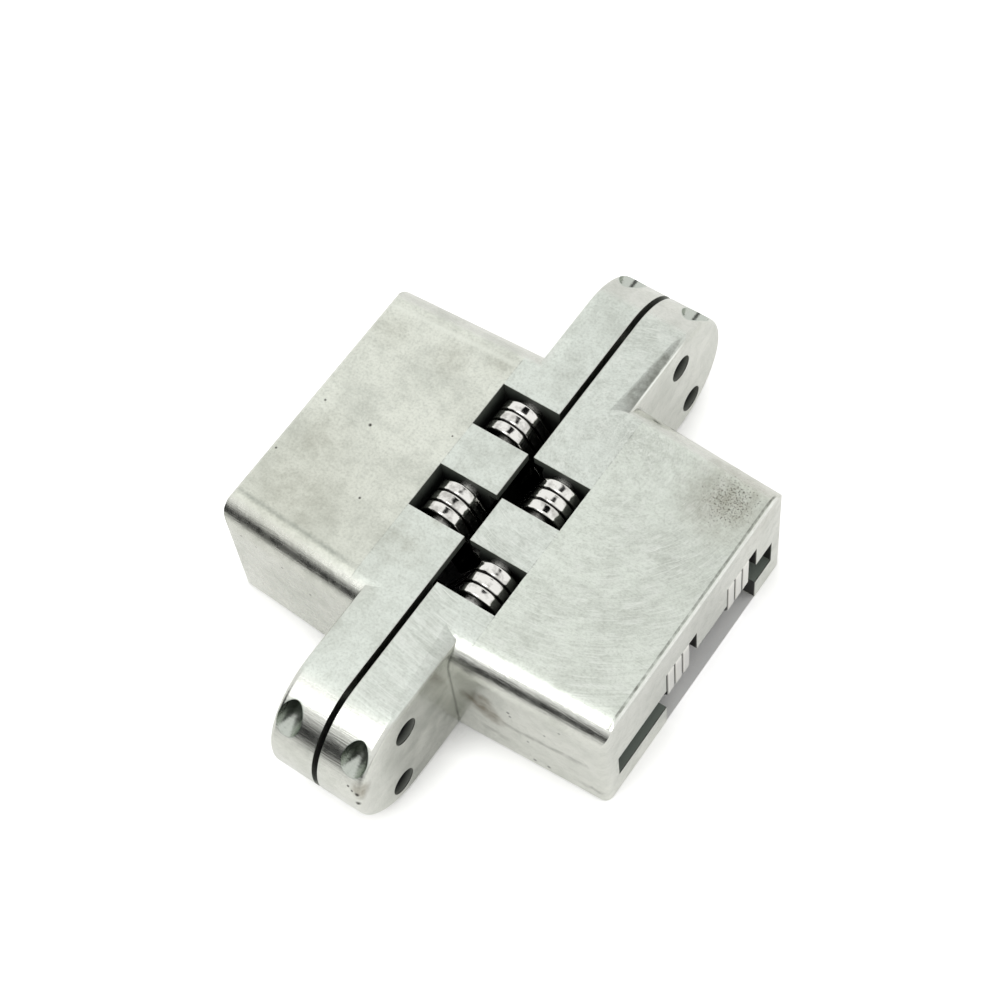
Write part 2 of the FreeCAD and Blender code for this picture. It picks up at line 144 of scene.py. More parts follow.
def beside_axis(tree, first, second, centre, radius):
    """1 within a radius of an axis, which crosses the plane of two coordinates at centre."""
    a = add_node(tree, "Math", {0: first, 1: centre[0]}, operation="SUBTRACT")
    b = add_node(tree, "Math", {0: second, 1: centre[1]}, operation="SUBTRACT")
    flat = add_node(tree, "CombineXYZ", {0: a, 1: b})
    away = add_node(tree, "VectorMath", {0: flat}, "Value", operation="LENGTH")
    return add_node(tree, "Math", {0: away, 1: radius}, operation="LESS_THAN")


# %% [markdown]
# The studio is a white sweep of paper under an even white sky. Metal shows what stands round it, so two
# dark things and one bright one shape the hinge: an unlit wall low on the photographer's side, with a top
# that slopes down to the right, draws the dark stripe along each near rounding, a small dark card overhead
# darkens the links' crowns, and a soft box above the wall draws the white stripe. The cards are seen by
# reflections only, so they take no light from the paper.

# %% Paper, wall and card
FLOOR_HALF = 3.0
WALL_RADIUS = 1.6
WALL_TURNS = np.linspace(208, 292, 43)
WALL_RISES = np.linspace(-1, 46, 15)
WALL_FADE = (WALL_RADIUS * math.sin(math.radians(17)), WALL_RADIUS * math.sin(math.radians(34)))
WALL_LEAN = 0.40
WALL_FOOT = -0.45
CARD_X = np.array((-0.14, 0.34))
CARD_Y = np.array((0.18, 0.66))
CARD_HEIGHT = 0.70
CARD_MIDDLE = (0.06, 0.41, CARD_HEIGHT)
CARD_FADE = (0.16, 0.22)


def grid_mesh(name, points):
    """A mesh from a grid of points (rows by columns by xyz): each cell of the grid is one quad."""
    rows, columns = points.shape[:2]
    index = np.arange(rows * columns).reshape(rows, columns)
    quads = np.stack([index[:-1, :-1], index[:-1, 1:], index[1:, 1:], index[1:, :-1]], axis=-1).reshape(-1, 4)
    mesh = bpy.data.meshes.new(name)
    mesh.from_pydata(points.reshape(-1, 3).tolist(), [], quads.tolist())
    mesh.update()
    piece = bpy.data.objects.new(name, mesh)
    scene.collection.objects.link(piece)
    return piece


def level_sheet(x_values, y_values, z):
    """A level rectangle: x and y run over their values and z is constant."""
    x, y = np.meshgrid(x_values, y_values)
    return np.stack([x, y, np.full_like(x, z, dtype=float)], axis=-1)


def wall_patch(radius, turns, rises):
    """A patch of a sphere round the origin: azimuth runs along the columns and elevation up the rows."""
    turn, rise = np.meshgrid(np.radians(turns), np.radians(rises))
    level = np.cos(rise)
    return radius * np.stack([level * np.cos(turn), level * np.sin(turn), np.sin(rise)], axis=-1)


floor_ends = np.array((-FLOOR_HALF, FLOOR_HALF))
floor = grid_mesh("floor", level_sheet(floor_ends, floor_ends, cad_low[2]))
wall = grid_mesh("dark_wall", wall_patch(WALL_RADIUS, WALL_TURNS, WALL_RISES))
card = grid_mesh("dark_card", level_sheet(CARD_X, CARD_Y, CARD_HEIGHT))
for piece in (wall, card):
    for ray in ("visible_camera", "visible_diffuse", "visible_shadow"):
        setattr(piece, ray, False)
print("stage:", floor.name, wall.name, card.name)

# %% [markdown]
# The paper is lifted to white for the camera, but only where it is open to the sky. One ambient occlusion
# node with a short reach takes the lift away beside the hinge, so the contact shadow stays. Another with a
# long reach finds the paper that lies under the hinge and makes it dark. Reflections get a smaller lift,
# and they see dimmer paper toward the photographer. Under the leaves' slots there is no lift while the leaf
# lies on the paper. The left leaf always lies there. Under the right one the paper has to see more of the
# sky the nearer it is to the back face, so it stays dark in the slot and is white once the leaf has swung
# away.

# %% Finish of the studio
PAPER = "#F2F2F0"
SHADE = "#141413"
DARK_ROOM = "#161617"
CAMERA_LIFT = 0.60
MIRROR_LIFT = 0.23
SHADOW_REACH = 6.5 * MM
UNDER_REACH = 45.0 * MM
AO_SAMPLES = 4
OPEN_SKY = (0.06, 0.26)
DIM_PAPER = (-85.0 * MM, -260.0 * MM)
DIM_SHARE = 0.75
PAPER_ROUGHNESS = 0.9
SLOT_HALF = (42.0 * MM, 20.6 * MM)
NEEDED_SKY = 0.95
NEEDED_FROM = (10.0 * MM, 40.0 * MM)

paper, tree, shader = new_material("white_paper_sweep")
rays = add_node(tree, "LightPath").node.outputs
beside = add_node(tree, "AmbientOcclusion", {"Distance": SHADOW_REACH}, "AO", samples=AO_SAMPLES)
under = add_node(tree, "AmbientOcclusion", {"Distance": UNDER_REACH}, "AO", samples=AO_SAMPLES)
place = add_node(tree, "TexCoord", give="Object")
x, y, _ = add_node(tree, "SeparateXYZ", {0: place}).node.outputs
side = add_node(tree, "Math", {0: x}, operation="ABSOLUTE")
end = add_node(tree, "Math", {0: y}, operation="ABSOLUTE")
needed = add_node(tree, "MapRange", {0: x, 1: NEEDED_FROM[0], 2: NEEDED_FROM[1], 3: 0.0, 4: NEEDED_SKY})
lying = add_node(tree, "Math", {0: under, 1: needed}, operation="LESS_THAN")
left = add_node(tree, "Math", {0: x, 1: 0.0}, operation="LESS_THAN")
covered = add_node(tree, "Math", {0: lying, 1: left}, operation="MAXIMUM")
across = add_node(tree, "Math", {0: side, 1: SLOT_HALF[0]}, operation="LESS_THAN")
along = add_node(tree, "Math", {0: end, 1: SLOT_HALF[1]}, operation="LESS_THAN")
clear = add_node(tree, "Math", {0: 1.0, 1: all_of(tree, covered, across, along)}, operation="SUBTRACT")
outside = add_node(tree, "MapRange", {0: under, 1: OPEN_SKY[0], 2: OPEN_SKY[1]})
dim = add_node(tree, "MapRange", {0: y, 1: DIM_PAPER[0], 2: DIM_PAPER[1], 3: 0.0, 4: DIM_SHARE})
dim = add_node(tree, "Math", {0: dim, 1: rays["Is Glossy Ray"]}, operation="MULTIPLY")
bright = add_node(tree, "Math", {0: 1.0, 1: dim}, operation="SUBTRACT")
outside = add_node(tree, "Math", {0: outside, 1: bright}, operation="MULTIPLY")
colour = add_node(tree, "Mix", {0: outside, 6: to_linear(SHADE), 7: to_linear(PAPER)}, 2, data_type="RGBA")
seen = add_node(tree, "Math", {0: rays["Is Camera Ray"], 1: beside}, operation="MULTIPLY")
mirrored = add_node(tree, "Math", {0: rays["Is Glossy Ray"], 1: rays["Is Transmission Ray"]},
                    operation="MAXIMUM")
mirrored = add_node(tree, "Math", {0: mirrored, 1: MIRROR_LIFT}, operation="MULTIPLY")
lift = add_node(tree, "Math", {0: seen, 1: CAMERA_LIFT, 2: mirrored}, operation="MULTIPLY_ADD")
lift = add_node(tree, "Math", {0: lift, 1: clear}, operation="MULTIPLY")
lift = add_node(tree, "Math", {0: lift, 1: outside}, operation="MULTIPLY")
shader.inputs["Roughness"].default_value = PAPER_ROUGHNESS
shader.inputs["Emission Color"].default_value = to_linear("#FFFFFF")
tree.links.new(colour, shader.inputs["Base Color"])
tree.links.new(lift, shader.inputs["Emission Strength"])
floor.data.materials.append(paper)

for piece, name in ((wall, "unlit_wall"), (card, "unlit_card")):
    dark, tree, shader = new_material(name)
    shader.inputs["Base Color"].default_value = to_linear(DARK_ROOM)
    shader.inputs["Roughness"].default_value = 1.0
    shader.inputs["Specular IOR Level"].default_value = 0.0
    piece.data.materials.append(dark)
    place = add_node(tree, "TexCoord", give="Object")
    if piece == wall:
        x, _, z = add_node(tree, "SeparateXYZ", {0: place}).node.outputs
        across = add_node(tree, "Math", {0: x, 1: WALL_FOOT}, operation="SUBTRACT")
        height = add_node(tree, "Math", {0: across, 1: WALL_LEAN, 2: z}, operation="MULTIPLY_ADD")
        solid = add_node(tree, "MapRange", {0: height, 1: WALL_FADE[1], 2: WALL_FADE[0]})
    else:
        away = add_node(tree, "VectorMath", {0: place, 1: CARD_MIDDLE}, "Value", operation="DISTANCE")
        solid = add_node(tree, "MapRange", {0: away, 1: CARD_FADE[1], 2: CARD_FADE[0]})
    tree.links.new(solid, shader.inputs["Alpha"])
print("studio finishes:", paper.name, "unlit_wall", "unlit_card")

# %% [markdown]
# The soft box is small and weak: it is there for its reflection. The sky does the lighting. The camera and
# the reflections see it pure white, and it lights the hinge a little more gently.

# %% Soft box and sky
SOFTBOX_PLACE = Vector((-0.108, -0.34, 0.60))
SOFTBOX_WIDTH = 0.24
SOFTBOX_HEIGHT = 0.36
SOFTBOX_POWER = 0.74
SKY_LIGHT = 0.80

lamp = bpy.data.lights.new("soft_box", "AREA")
lamp.shape = "RECTANGLE"
lamp.size = SOFTBOX_WIDTH
lamp.size_y = SOFTBOX_HEIGHT
lamp.energy = SOFTBOX_POWER
softbox = bpy.data.objects.new("soft_box", lamp)
aim = (-SOFTBOX_PLACE).to_track_quat("-Z", "Y").to_matrix().to_4x4()
softbox.matrix_world = Matrix.Translation(SOFTBOX_PLACE) @ aim
scene.collection.objects.link(softbox)

world = bpy.data.worlds.new("white_sky")
scene.world = world
world.use_nodes = True
tree = world.node_tree
tree.nodes.clear()
rays = add_node(tree, "LightPath").node.outputs
looked_at = add_node(tree, "Math", {0: rays["Is Camera Ray"], 1: rays["Is Glossy Ray"]}, operation="MAXIMUM")
looked_at = add_node(tree, "Math", {0: looked_at, 1: rays["Is Transmission Ray"]}, operation="MAXIMUM")
strength = add_node(tree, "MapRange", {0: looked_at, 3: SKY_LIGHT, 4: 1.0})
sky = add_node(tree, "Background", {"Color": to_linear("#FFFFFF"), "Strength": strength})
add_node(tree, "OutputWorld", {"Surface": sky})
scene.view_settings.view_transform = "Standard"
print("lights:", softbox.name, world.name)

# %% [markdown]
# The leaves are zinc die castings. Zinc comes out of the die a pale, slightly greenish grey with a close
# skin that mirrors softly. The wide top was then ground, which leaves a duller, grainy satin, and the strip
# beside the gap was ground again. Inside the windows and slots the metal is painted nearly black as painted
# shade, with painted light at the rims and on a lip low in the slots. The screw holes get the same painted
# shade, with painted light at their mouths. The front faces are plain zinc, and get painted shade only while
# the gap between them is shut.

# %% Zinc casting
ZINC_LEFT = "#E5E8DD"
ZINC_RIGHT = "#E5EBE1"
ZINC_STRIP = "#E2E8E0"
ZINC_SKIN = "#D9DAD3"
ZINC_CLOUD = "#B0B4AA"
ZINC_GRAIN = "#A2A69C"
ZINC_SPARK = "#F4F7F0"
ZINC_FRONT = "#CDD0C8"
# Painted shade for the gap between the front faces while it is shut.
GAP_SHADE = "#6E706A"
GAP_REACH = 3.0 * MM
GAP_SAMPLES = 2
# Dirt colour for the ledge line, and painted shade in concave corners.
DIRT_AND_SHADE = "#5F615A"
# Painted shade for the insides of windows, slots and screw holes; painted light for the window rims, a lip in
# the slots and the screw holes' mouths.
RECESS_SHADE = "#1B1C1A"
RIM_LIGHT = "#4C514A"
LIP_LIGHT = "#7C847C"
BORE_GREY = "#C2C7BF"
HOLE_MOUTH_LIGHT = "#8A8D86"
STRIP_EDGE = 13.1 * MM
STRIP_SOFT = 0.15 * MM
LEDGE_WIDTH = 0.16 * MM
TOP = cad_high[2]
GROUND_FROM = TOP - 0.6 * MM
GROUND_TO = TOP - 0.15 * MM
BLOTCH = (9.0 * MM, 5.0, 0.6)
MOTTLE = (2.2 * MM, 4.0, 0.65)
GRAIN = (0.55 * MM, 3.0, 0.7)
MILL_LENGTH = 4.0 * MM
MILL_WIDTH = 0.30 * MM
SCREWS = ((44.45 * MM, 21.2 * MM), (47.95 * MM, 5.75 * MM))
SCREW_RADIUS = 2.95 * MM
BORE = (7.1 * MM, 24.2 * MM)
BORE_RADIUS = 2.7 * MM
WINDOW_BOX = ((-FAR, 41.2, 0.1), (-FAR, 20.4, 0.1), (19.0, 28.35, 0.1))
SLOT_BOX = ((-FAR, 41.95, 0.1), (-FAR, 25.9, 0.1), (0.2, 19.5, 0.1))
HOLE_BOX = ((0.8, 10.15, 0.1),)
LIP_BOX = ((5.9, 6.06, 0.02),)
LIT_LIP = (22.0 * MM, 40.0 * MM)
LIT_RIM = (24.5 * MM, 28.3 * MM)
LIT_MOUTH = (8.7 * MM, 10.1 * MM)
FRONT_EDGE = (0.80 * MM, 0.70 * MM)
CORNER_REACH = 1.3 * MM
RELIEF_DEPTH = 0.05 * MM
DULL_ROUGHNESS = 0.5
RUBBED_GLOSS = 0.30


def hidden_metal(tree, side, end, z, layers):
    """Append the layers of the surfaces that are seldom seen, with painted shade in recesses, screw holes and
    the shut gap and painted light at rims, a lip and hole mouths; return where the recess shade and where
    dull metal is.
    """
    windows = in_box(tree, (side, end, z), WINDOW_BOX)
    slots = in_box(tree, (side, end, z), SLOT_BOX)
    inside = add_node(tree, "Math", {0: windows, 1: slots}, operation="MAXIMUM")
    front = add_node(tree, "MapRange", {0: side, 1: FRONT_EDGE[0], 2: FRONT_EDGE[1]})
    facing = add_node(tree, "AmbientOcclusion", {"Distance": GAP_REACH}, "AO", samples=GAP_SAMPLES)
    shut = add_node(tree, "MapRange", {0: facing, 1: 0.7, 2: 0.4})
    bore = beside_axis(tree, side, z, BORE, BORE_RADIUS)
    holes = [beside_axis(tree, end, z, centre, SCREW_RADIUS) for centre in SCREWS]
    hole = add_node(tree, "Math", {0: holes[0], 1: holes[1]}, operation="MAXIMUM")
    hole = all_of(tree, hole, in_box(tree, (side,), HOLE_BOX))
    rim = add_node(tree, "MapRange", {0: z, 1: LIT_RIM[0], 2: LIT_RIM[1]})
    lit_lip = add_node(tree, "MapRange", {0: side, 1: LIT_LIP[0], 2: LIT_LIP[1]})
    lip = all_of(tree, in_box(tree, (z,), LIP_BOX), lit_lip, inside)
    mouth = add_node(tree, "MapRange", {0: side, 1: LIT_MOUTH[0], 2: LIT_MOUTH[1]})
    gap = all_of(tree, front, shut)
    # Painted shade darkens the holes, the insides and the shut gap; painted light brightens the hole mouths,
    # the window rims and the lip.
    layers += [(bore, BORE_GREY), (front, ZINC_FRONT), (gap, GAP_SHADE), (hole, RECESS_SHADE),
               (all_of(tree, hole, mouth), HOLE_MOUTH_LIGHT), (inside, RECESS_SHADE),
               (all_of(tree, windows, rim), RIM_LIGHT), (lip, LIP_LIGHT)]
    shaded_inside = add_node(tree, "Math", {0: inside, 1: hole}, operation="MAXIMUM")
    return shaded_inside, add_node(tree, "Math", {0: shaded_inside, 1: gap}, operation="MAXIMUM")


def zinc_casting(name, base, add_marks):
    """Die-cast zinc: blotches, mottling and grain on pale metal, dull where ground, painted near black shade
    inside and painted shade in corners.

    add_marks(tree, place, layers, cloud, mottle) appends this casting's own (mask, colour) layers and returns
    a mask of the places that are rubbed dull.
    """
    material, tree, shader = new_material(name)
    place = add_node(tree, "TexCoord", give="Object")
    x, y, z = add_node(tree, "SeparateXYZ", {0: place}).node.outputs
    side = add_node(tree, "Math", {0: x}, operation="ABSOLUTE")
    end = add_node(tree, "Math", {0: y}, operation="ABSOLUTE")

    cloud, mottle, grain = [
        add_node(tree, "TexNoise", {"Vector": place, "Scale": 1 / size, "Detail": detail, "Roughness": rough})
        for size, detail, rough in (BLOTCH, MOTTLE, GRAIN)]
    strip = add_node(tree, "MapRange", {0: side, 1: STRIP_EDGE + STRIP_SOFT, 2: STRIP_EDGE - STRIP_SOFT})
    cloudy = add_node(tree, "MapRange", {0: cloud, 1: 0.42, 2: 0.72, 3: 0.0, 4: 0.45})
    mottled = add_node(tree, "MapRange", {0: mottle, 1: 0.45, 2: 0.75, 3: 0.0, 4: 0.28})
    ground = add_node(tree, "MapRange", {0: z, 1: GROUND_FROM, 2: GROUND_TO})
    coarse = add_node(tree, "MapRange", {0: ground, 3: 0.12, 4: 0.40})
    grainy = add_node(tree, "MapRange", {0: grain, 1: 0.48, 2: 0.78, 3: 0.0, 4: coarse})
    sparks = add_node(tree, "MapRange", {0: grain, 1: 0.46, 2: 0.24, 3: 0.0, 4: coarse})
    skin = add_node(tree, "MapRange", {0: ground, 3: 1.0, 4: 0.0})
    layers = [(strip, ZINC_STRIP), (skin, ZINC_SKIN), (cloudy, ZINC_CLOUD), (mottled, ZINC_CLOUD),
              (grainy, ZINC_GRAIN), (sparks, ZINC_SPARK)]
    ledge = within(tree, side, STRIP_EDGE - LEDGE_WIDTH / 2, STRIP_EDGE + LEDGE_WIDTH / 2, LEDGE_WIDTH)
    broken = add_node(tree, "MapRange", {0: mottle, 1: 0.4, 2: 0.65, 3: 0.0, 4: 0.5})
    layers.append((all_of(tree, ledge, ground, broken), DIRT_AND_SHADE))
    rubbed = add_marks(tree, place, layers, cloud, mottle)
    # Painted shade: ambient occlusion darkens the concave corners towards the dirt colour.
    corner = add_node(tree, "AmbientOcclusion", {"Distance": CORNER_REACH}, "AO", samples=AO_SAMPLES,
                      only_local=True)
    corner = add_node(tree, "MapRange", {0: corner, 1: 0.75, 2: 0.35, 3: 0.0, 4: 0.7})
    layers.append((corner, DIRT_AND_SHADE))
    shaded_inside, dull = hidden_metal(tree, side, end, z, layers)

    colour = add_node(tree, "RGB")
    colour.default_value = to_linear(base)
    for mask, hex_code in layers:
        colour = add_node(tree, "Mix", {0: mask, 6: colour, 7: to_linear(hex_code)}, 2, data_type="RGBA")

    skin_gloss = add_node(tree, "MapRange", {0: mottle, 1: 0.3, 2: 0.7, 3: 0.17, 4: 0.27})
    ground_gloss = add_node(tree, "MapRange", {0: mottle, 1: 0.3, 2: 0.7, 3: 0.34, 4: 0.44})
    gloss = add_node(tree, "Mix", {0: ground, 2: skin_gloss, 3: ground_gloss})
    gloss = add_node(tree, "Mix", {0: rubbed, 2: gloss, 3: RUBBED_GLOSS})
    gloss = add_node(tree, "Mix", {0: dull, 2: gloss, 3: DULL_ROUGHNESS})

    stretched = add_node(tree, "VectorMath", {0: place, 1: (1 / MILL_LENGTH, 1 / MILL_WIDTH, 1 / MILL_WIDTH)},
                         operation="MULTIPLY")
    milled = add_node(tree, "TexNoise", {"Vector": stretched, "Scale": 1.0, "Detail": 2.0})
    relief = add_node(tree, "Math", {0: grain, 1: 0.5, 2: milled}, operation="MULTIPLY_ADD")
    bump = add_node(tree, "Bump", {"Height": relief, "Strength": 0.5, "Distance": RELIEF_DEPTH})
    metal = add_node(tree, "MapRange", {0: shaded_inside, 3: 1.0, 4: 0.0})
    finish = {"Base Color": colour, "Metallic": metal, "Roughness": gloss, "Normal": bump}
    for socket, source in finish.items():
        tree.links.new(source, shader.inputs[socket])
    return material


# %% [markdown]
# Each casting has its own history. The left one carries a few pits and stains, a darker line along its near
# ridge and a bright line along its far one. The ridges are where the roundings start, and they follow the
# casting's draft. Its near rounding was rubbed dull in patches.

# %% Marks of the left casting
PIT = "#3B3A34"
STAIN = "#A7A798"
NEAR_RIDGE_DARK = "#8F948B"
RIDGE_SHINE = "#F1F4EA"
LEFT_PITS = ((-28.9, -0.4, 0.45), (-21.3, -13.9, 0.35), (-39.3, -0.5, 0.3), (-40.8, -13.7, 0.3),
             (-14.6, 5.8, 0.25))
LEFT_STAINS = ((-32.0, -19.0, 13.0), (-15.7, 23.1, 4.0), (-35.3, -6.9, 7.0), (-37.7, 18.6, 5.0),
               (-24.7, 19.4, 5.0), (-6.8, -10.3, 2.0), (-9.0, -17.0, 6.0))
SIDE_DOTS = ((-41.0, -30.0, 24.0), (-37.5, -30.2, 23.0), (-34.0, -30.4, 22.5), (-28.0, -30.6, 21.0),
             (-22.0, -30.9, 17.0))
DOT_RADIUS = 0.4
DULL_PLACE = (-30.0, -26.0)
DULL_REACH = 30.0 * MM
DULL_STRENGTH = 0.26
DRAFT = math.tan(math.radians(2.8))
RIDGE = 25.83 * MM
RIDGE_SOFT = 0.7 * MM
ROUNDING = (1.5 * MM, 3.0 * MM)
BEHIND_STRIP = ((-41.5, -13.5, 1.5),)
BEHIND_FLANGE = ((-41.8, -9.5, 0.5),)


def on_top(x, y):
    """A place on the wide top face, from millimetres."""
    return Vector((x * MM, y * MM, TOP))


def add_pits(tree, place, layers, pits):
    """Append a dark dot for each pit, given by its centre and its radius in millimetres."""
    for centre, radius in pits:
        away = add_node(tree, "VectorMath", {0: place, 1: centre}, "Value", operation="DISTANCE")
        layers.append((add_node(tree, "MapRange", {0: away, 1: radius * MM, 2: 0.3 * radius * MM}), PIT))


def left_marks(tree, place, layers, cloud, mottle):
    """Append stains, both ridges, and pits over them; return where the near rounding is rubbed dull."""
    x, y, _ = add_node(tree, "SeparateXYZ", {0: place}).node.outputs
    patchy = add_node(tree, "MapRange", {0: mottle, 1: 0.3, 2: 0.7, 3: 0.3, 4: 0.9})
    for mark_x, mark_y, reach in LEFT_STAINS:
        spot = near_spot(tree, place, on_top(mark_x, mark_y), reach * MM)
        layers.append((all_of(tree, spot, patchy, cloud), STAIN))
    dulled = near_spot(tree, place, on_top(*DULL_PLACE), DULL_REACH)
    layers.append((all_of(tree, dulled, DULL_STRENGTH), STAIN))
    side = add_node(tree, "Math", {0: x}, operation="ABSOLUTE")
    near = add_node(tree, "Math", {0: y, 1: -1.0}, operation="MULTIPLY")
    behind = in_box(tree, (x,), BEHIND_STRIP)
    # The near ridge gets a darker line and the far ridge a lighter one, both broken up by the mottle.
    ridges = ((near, 0.1, 0.9, 0.6, NEAR_RIDGE_DARK), (y, -0.7, 0.2, 0.55, RIDGE_SHINE))
    for toward, low, high, strength, hex_code in ridges:
        past = add_node(tree, "Math", {0: side, 1: DRAFT, 2: toward}, operation="MULTIPLY_ADD")
        line = within(tree, past, RIDGE + low * MM, RIDGE + high * MM, RIDGE_SOFT)
        smeared = add_node(tree, "MapRange", {0: mottle, 1: 0.3, 2: 0.6, 3: 0.4 * strength, 4: strength})
        layers.append((all_of(tree, line, behind, smeared), hex_code))
    add_pits(tree, place, layers, [(on_top(*pit[:2]), pit[2]) for pit in LEFT_PITS])
    add_pits(tree, place, layers, [(Vector(dot) * MM, DOT_RADIUS) for dot in SIDE_DOTS])
    past = add_node(tree, "Math", {0: side, 1: DRAFT, 2: near}, operation="MULTIPLY_ADD")
    rounding = add_node(tree, "MapRange", {0: past, 1: RIDGE + ROUNDING[0], 2: RIDGE + ROUNDING[1]})
    worn = add_node(tree, "MapRange", {0: mottle, 1: 0.35, 2: 0.65, 3: 0.3, 4: 1.0})
    return all_of(tree, rounding, in_box(tree, (x,), BEHIND_FLANGE), worn)


# %% [markdown]
# The right casting was rubbed on an abrasive disc. Noise in polar coordinates, stretched along the turn,
# gives its short strokes and the broad soft waves under them. Damp has pitted the far back corner, and a
# tide line with brown stains crosses the near side.

# %% Marks of the right casting
SCRATCH = "#F6F9F3"
RUST_HAZE = "#A5A190"
RUST_SPECK = "#4F493B"
TIDE = "#6F7169"
BROWN = "#756A53"
EDGE_LINE = "#767870"
# EDGE_HIGHLIGHT is a painted highlight along edges and crests.
EDGE_HIGHLIGHT = "#F4F6F0"
# Smears on the near flange's back, and a painted dark reflection on the far flange's sloping facet.
SMEARS_AND_DARK_REFLECTION = "#8E9088"
DISC_CENTRE = Vector((12.0, 20.0, 0.0)) * MM
STROKE = (0.28 * MM, 0.12)
WAVE = (2.0 * MM, 0.20)
STROKES_FROM = TOP - 0.5 * MM
STROKES_TO = TOP - 0.1 * MM
RUST_PLACE = (35.5, 21.5)
RUST_REACH = 11.5 * MM
SPECK_SIZE = 0.34 * MM
RIGHT_STAINS = (((14.6, -31.1, 15.6), 3.2), ((16.8, -31.0, 18.2), 2.8), ((16.6, -31.0, 14.4), 4.0),
                ((18.6, -30.9, 12.4), 3.4), ((10.0, -57.3, 19.6), 2.6))
RIGHT_PITS = ((22.3, -30.7, 18.1, 0.45), (22.6, -30.7, 16.8, 0.4), (25.8, -30.6, 9.4, 0.35),
              (33.0, -30.2, 21.3, 0.35), (29.7, -30.4, 16.5, 0.35), (26.8, -30.5, 2.3, 0.5),
              (29.8, -30.4, 2.6, 0.5), (9.3, -58.0, 18.8, 0.6), (9.6, -58.6, 16.3, 0.7),
              (8.2, -57.9, 19.0, 0.35), (7.3, -57.7, 19.6, 0.35))
TIDES = ((18.0, 38.0, 11.6, 12.8), (16.0, 21.0, 5.4, 5.2), (36.5, 41.0, 4.0, 3.6))
TIDE_WIDTH = 0.7 * MM
TIDE_DRIFT = 1.2 * MM
TIDE_END = 2.0 * MM
BACK_EDGE = (((41.25, 41.65, 0.12), EDGE_LINE), ((41.75, 42.2, 0.12), EDGE_HIGHLIGHT))
HIGH = (27.6, FAR, 0.3)
SLOPE_BOX = ((5.0, 10.0, 0.3), (28.5, 44.0, 6.0), (28.0, 28.56, 0.06))
CREST_BOX = ((10.0, 10.28, 0.1), (30.0, 45.0, 4.0), (27.9, FAR, 0.2))
FLANGE_BACK_BOX = ((9.9, 10.6, 0.3), (-49.0, -31.0, 7.0))
NEAR_SIDE = ((-FAR, -29.0, 1.0),)


def disc_noise(tree, place, width, turn_length):
    """Noise in polar coordinates round the disc's centre: one cell is width across and turn_length round."""
    spoke = add_node(tree, "VectorMath", {0: place, 1: DISC_CENTRE}, operation="SUBTRACT")
    arm_x, arm_y, _ = add_node(tree, "SeparateXYZ", {0: spoke}).node.outputs
    flat = add_node(tree, "CombineXYZ", {0: arm_x, 1: arm_y})
    reach = add_node(tree, "VectorMath", {0: flat}, "Value", operation="LENGTH")
    ring = add_node(tree, "Math", {0: reach, 1: width}, operation="DIVIDE")
    turn = add_node(tree, "Math", {0: arm_y, 1: arm_x}, operation="ARCTAN2")
    turn = add_node(tree, "Math", {0: turn, 1: turn_length}, operation="DIVIDE")
    polar = add_node(tree, "CombineXYZ", {0: ring, 1: turn})
    return add_node(tree, "TexNoise", {"Vector": polar, "Scale": 1.0, "Detail": 2.0, "Distortion": 1.1},
                    noise_dimensions="2D")


